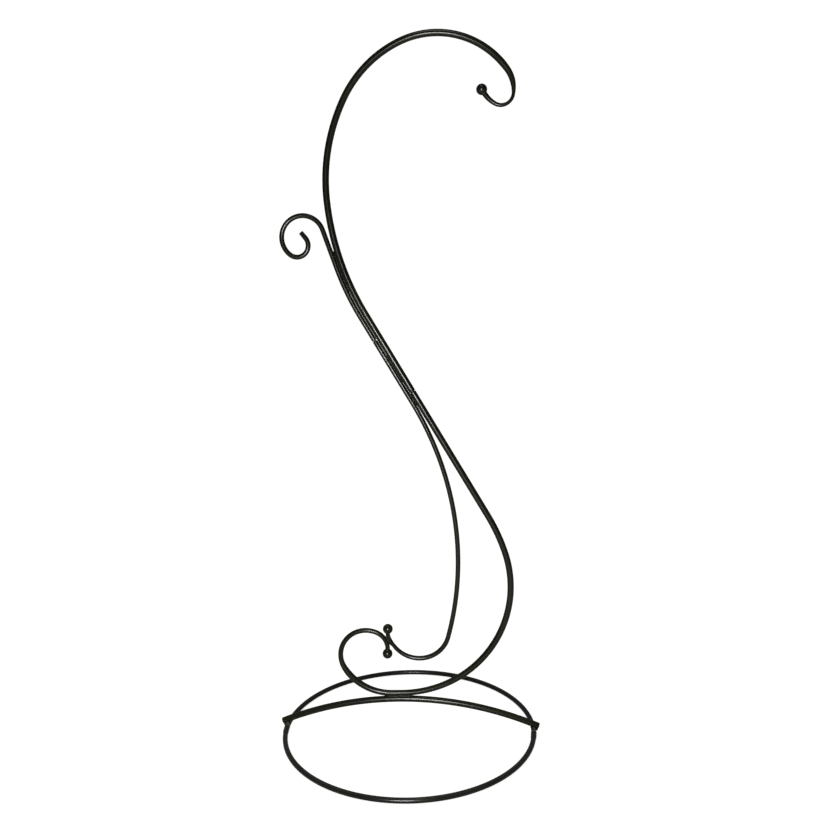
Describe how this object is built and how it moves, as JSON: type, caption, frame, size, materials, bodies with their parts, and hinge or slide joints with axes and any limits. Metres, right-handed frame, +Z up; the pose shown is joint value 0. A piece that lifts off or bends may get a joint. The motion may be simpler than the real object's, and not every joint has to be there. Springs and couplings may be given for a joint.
{
  "type": "hanging plant stand",
  "caption": "Tall free-standing stand of bent steel tube: a round base with an arched cross bar, an S-shaped pole that ends in a hook for a hanging pot, and a thinner rod with a small hook.",
  "frame": {"origin": "on the ground, under the centre of the round base", "axes": "+Z up; the stand is flat in the XZ plane, seen from -Y, with the large hook towards +X and the small hook towards -X"},
  "size_m": [0.525, 0.51, 1.3466],
  "materials": {
    "black_steel": "semi-gloss black powder coat with a faint olive-brown cast",
    "black_weld": "the same powder coat, over the uneven surface of a weld"
  },
  "bodies": {
    "root": {"front_hoop": "black_steel", "rear_hoop": "black_steel", "cross_bar": "black_steel", "bar_weld_left": "black_weld", "bar_weld_right": "black_weld", "lower_pole": "black_steel", "upper_pole": "black_steel", "scroll_ball": "black_steel", "hook_ball": "black_steel", "foot_weld": "black_weld", "lower_rod": "black_steel", "upper_rod": "black_steel", "rod_ball": "black_steel", "tip_weld": "black_weld", "low_rod_weld": "black_weld", "high_rod_weld": "black_weld"}
  },
  "joints": []
}
